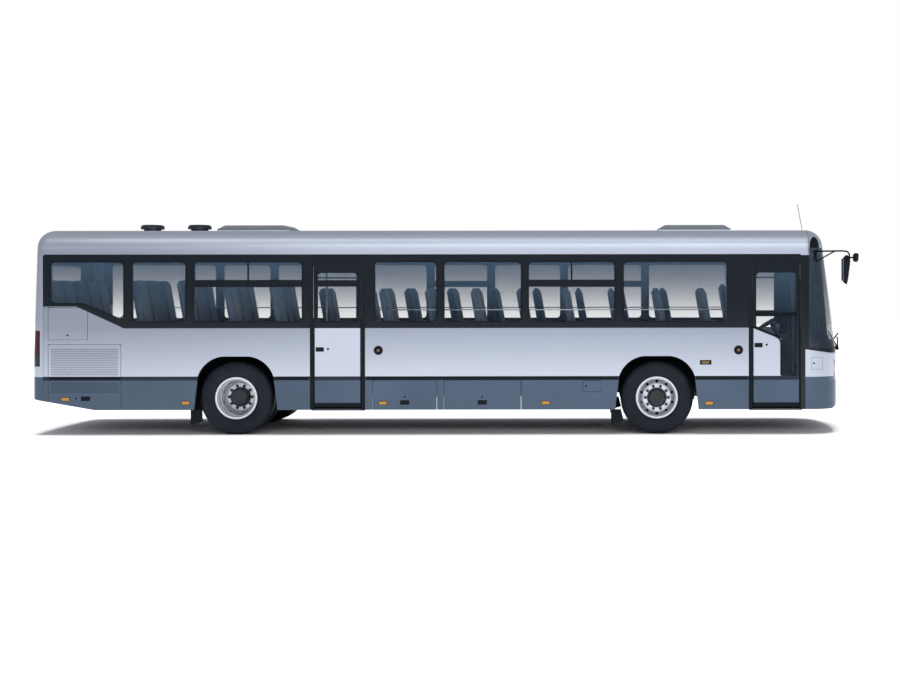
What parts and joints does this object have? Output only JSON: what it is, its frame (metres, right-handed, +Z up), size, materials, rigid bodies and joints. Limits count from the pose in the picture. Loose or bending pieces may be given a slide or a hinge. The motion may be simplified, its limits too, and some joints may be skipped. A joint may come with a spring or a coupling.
{
  "type": "city bus",
  "caption": "City bus with a hollow saloon and seats, steered front wheels, twin rear wheels, swinging doors, side and rear lids and roof hatches.",
  "frame": {"origin": "on the road, halfway along the whole length and halfway across", "axes": "+X forwards, +Y to the bus's left, +Z up"},
  "size_m": [11.942, 3.06, 3.3957],
  "materials": {
    "body_silver": "satin metallic",
    "skirt_grey": "satin metallic",
    "glass": "tinted",
    "lamp_red": "gloss",
    "lamp_clear": "gloss",
    "plastic_black": "matte",
    "roof_grey": "satin",
    "cover_grey": "satin",
    "floor_vinyl": "matte",
    "rubber": "matte",
    "frame_black": "satin",
    "cast_iron": "rough",
    "wheel_silver": "satin",
    "tyre": "matte",
    "seat_fabric": "woven",
    "seat_frame": "satin",
    "handrail": "brushed"
  },
  "bodies": {
    "bus_body": {"aerial": "plastic_black", "body_windows": "glass", "bumpers": "skirt_grey", "dashboard": "plastic_black", "door_gear_covers": "cover_grey", "engine": "cast_iron", "floor": "floor_vinyl", "frame": "frame_black", "front_axle": "cast_iron", "front_mask": "body_silver", "fuel_tank": "frame_black", "handrails": "handrail", "headlamps": "lamp_clear", "left_wall": "body_silver", "mirrors": "plastic_black", "mud_flaps": "rubber", "rear_axle": "cast_iron", "rear_cap": "body_silver", "right_front_wall": "body_silver", "right_rear_wall": "body_silver", "roof": "body_silver", "roof_ventilators": "roof_grey", "seat_plinths": "seat_frame", "seats": "seat_fabric", "side_skirts": "skirt_grey", "tail_lamps": "lamp_red", "wheel_boxes": "cover_grey", "windscreen": "glass", "wipers": "plastic_black"},
    "front_left_knuckle": {"front_left_knuckle": "cast_iron"},
    "front_right_knuckle": {"front_right_knuckle": "cast_iron"},
    "front_left_wheel": {"front_left_wheel": "wheel_silver", "front_left_tyre": "tyre"},
    "front_right_wheel": {"front_right_wheel": "wheel_silver", "front_right_tyre": "tyre"},
    "rear_left_wheels": {"rear_left_wheels": "wheel_silver", "rear_left_tyres": "tyre"},
    "rear_right_wheels": {"rear_right_wheels": "wheel_silver", "rear_right_tyres": "tyre"},
    "front_door_arms": {"front_door_arms": "frame_black"},
    "front_door": {"front_door_leaf": "body_silver", "front_door_glass": "glass"},
    "middle_door_arms": {"middle_door_arms": "frame_black"},
    "middle_door": {"middle_door_leaf": "body_silver", "middle_door_glass": "glass"},
    "upper_side_lid": {"upper_side_lid": "body_silver"},
    "engine_side_door": {"engine_side_door": "body_silver"},
    "rear_locker_lid": {"rear_locker_lid": "skirt_grey"},
    "front_locker_lid": {"front_locker_lid": "skirt_grey"},
    "left_locker_lid": {"left_locker_lid": "skirt_grey"},
    "fuel_lid": {"fuel_lid": "skirt_grey"},
    "engine_lid": {"engine_lid": "body_silver"},
    "front_roof_hatch": {"front_roof_hatch": "body_silver"},
    "rear_roof_hatch": {"rear_roof_hatch": "body_silver"}
  },
  "joints": [
    {"name": "front_left_steer", "type": "hinge", "parent": "bus_body", "child": "front_left_knuckle", "pos_m": [3.095, 0.905, 0.527], "axis": [0, 0, 1], "range_deg": [-40, 40]},
    {"name": "front_left_spin", "type": "hinge", "parent": "front_left_knuckle", "child": "front_left_wheel", "pos_m": [3.095, 1.06, 0.527], "axis": [0, 1, 0], "continuous": true},
    {"name": "rear_left_spin", "type": "hinge", "parent": "bus_body", "child": "rear_left_wheels", "pos_m": [-2.974, 0.925, 0.527], "axis": [0, 1, 0], "continuous": true},
    {"name": "front_right_steer", "type": "hinge", "parent": "bus_body", "child": "front_right_knuckle", "pos_m": [3.095, -0.905, 0.527], "axis": [0, 0, 1], "range_deg": [-40, 40]},
    {"name": "front_right_spin", "type": "hinge", "parent": "front_right_knuckle", "child": "front_right_wheel", "pos_m": [3.095, -1.06, 0.527], "axis": [0, 1, 0], "continuous": true},
    {"name": "rear_right_spin", "type": "hinge", "parent": "bus_body", "child": "rear_right_wheels", "pos_m": [-2.974, -0.925, 0.527], "axis": [0, 1, 0], "continuous": true},
    {"name": "front_door_swing", "type": "hinge", "parent": "bus_body", "child": "front_door_arms", "pos_m": [5.08, -1.11, 0.712], "axis": [0, 0, 1], "range_deg": [0, 100]},
    {"name": "front_door_level", "type": "hinge", "parent": "front_door_arms", "child": "front_door", "pos_m": [4.52, -1.17, 0.712], "axis": [0, 0, 1], "range_deg": [-100, 0]},
    {"name": "middle_door_swing", "type": "hinge", "parent": "bus_body", "child": "middle_door_arms", "pos_m": [-1.242, -1.11, 0.712], "axis": [0, 0, 1], "range_deg": [0, 100]},
    {"name": "middle_door_level", "type": "hinge", "parent": "middle_door_arms", "child": "middle_door", "pos_m": [-1.802, -1.17, 0.712], "axis": [0, 0, 1], "range_deg": [-100, 0]},
    {"name": "upper_side_lid_hinge", "type": "hinge", "parent": "bus_body", "child": "upper_side_lid", "pos_m": [-5.382, -1.25, 1.833], "axis": [-1, 0, 0], "range_deg": [0, 80]},
    {"name": "engine_side_door_hinge", "type": "hinge", "parent": "bus_body", "child": "engine_side_door", "pos_m": [-5.1435, -1.25, 1.3], "axis": [-1, 0, 0], "range_deg": [0, 80]},
    {"name": "rear_locker_lid_hinge", "type": "hinge", "parent": "bus_body", "child": "rear_locker_lid", "pos_m": [-0.5405, -1.25, 0.782], "axis": [-1, 0, 0], "range_deg": [0, 80]},
    {"name": "front_locker_lid_hinge", "type": "hinge", "parent": "bus_body", "child": "front_locker_lid", "pos_m": [0.579, -1.25, 0.782], "axis": [-1, 0, 0], "range_deg": [0, 80]},
    {"name": "left_locker_lid_hinge", "type": "hinge", "parent": "bus_body", "child": "left_locker_lid", "pos_m": [-0.924, 1.25, 0.782], "axis": [1, 0, 0], "range_deg": [0, 80]},
    {"name": "engine_lid_hinge", "type": "hinge", "parent": "bus_body", "child": "engine_lid", "pos_m": [-5.961, 0, 1.447], "axis": [0, 1, 0], "range_deg": [0, 80]},
    {"name": "front_roof_hatch_hinge", "type": "hinge", "parent": "bus_body", "child": "front_roof_hatch", "pos_m": [4.242, 0, 2.985], "axis": [0, 1, 0], "range_deg": [0, 80]},
    {"name": "rear_roof_hatch_hinge", "type": "hinge", "parent": "bus_body", "child": "rear_roof_hatch", "pos_m": [-2.378, 0, 2.985], "axis": [0, 1, 0], "range_deg": [0, 80]},
    {"name": "fuel_lid_hinge", "type": "hinge", "parent": "bus_body", "child": "fuel_lid", "pos_m": [2.287, -1.25, 0.695], "axis": [0, 0, 1], "range_deg": [0, 100]}
  ],
  "couplings": [
    {"joint": "front_right_steer", "follows": "front_left_steer", "ratio": 1},
    {"joint": "front_door_level", "follows": "front_door_swing", "ratio": -1},
    {"joint": "middle_door_level", "follows": "middle_door_swing", "ratio": -1}
  ]
}
